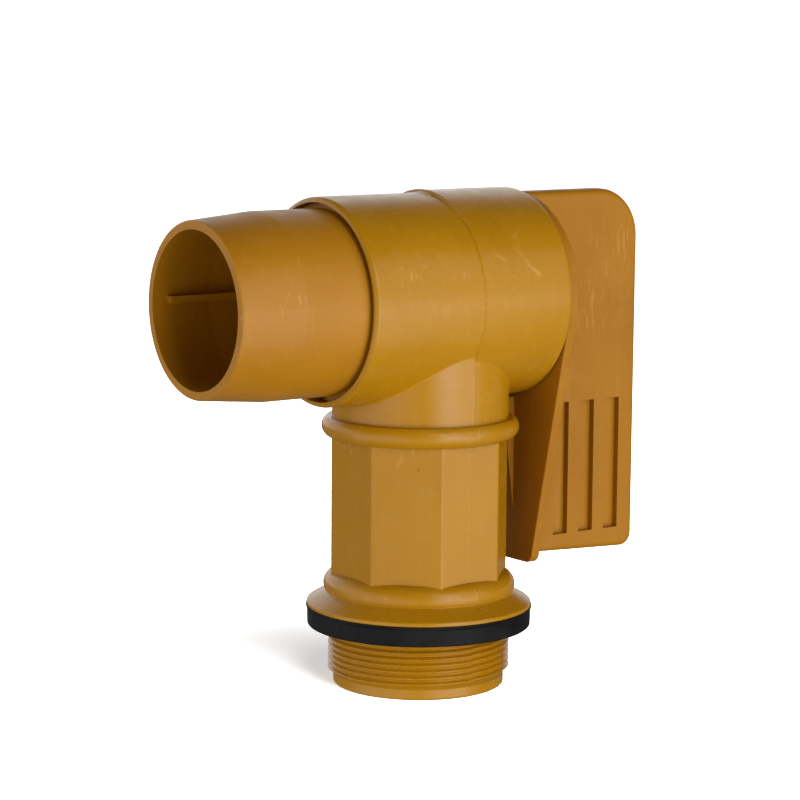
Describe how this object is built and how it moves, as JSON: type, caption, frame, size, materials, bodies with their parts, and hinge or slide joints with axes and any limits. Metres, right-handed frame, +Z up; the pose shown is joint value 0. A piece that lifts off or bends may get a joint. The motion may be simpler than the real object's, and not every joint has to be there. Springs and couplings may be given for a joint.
{
  "type": "drum tap",
  "caption": "Plastic drum tap with a threaded inlet stem, flange and gasket, and a spout that turns with its rear lever through a quarter turn to open and close.",
  "frame": {"origin": "on the stem's axis at the end of the threaded inlet, which the tap stands on in the picture", "axes": "+Z up the stem to the barrel, -Y towards the spout along the barrel's axis, +Y towards the lever"},
  "size_m": [0.0742, 0.175, 0.1619],
  "materials": {
    "body_plastic": "moulded ochre plastic, half gloss",
    "spout_plastic": "moulded ochre plastic, satin",
    "lever_plastic": "moulded ochre plastic, satin",
    "lock_plastic": "moulded ochre plastic",
    "gasket_rubber": "matt black rubber",
    "seal_rubber": "black rubber"
  },
  "bodies": {
    "body": {"tap_body": "body_plastic", "inlet_gasket": "gasket_rubber", "port_seal": "seal_rubber"},
    "rotor": {"spout_plug": "spout_plastic", "snap_ring": "lock_plastic", "plug_ring_front": "seal_rubber", "plug_ring_rear": "seal_rubber", "handle": "lever_plastic", "hub_ring": "seal_rubber", "lock_pins": "lock_plastic"}
  },
  "joints": [
    {"name": "handle_turn", "type": "hinge", "parent": "body", "child": "rotor", "pos_m": [0, 0, 0.1274], "axis": [0, -1, 0], "range_deg": [0, 90]}
  ]
}
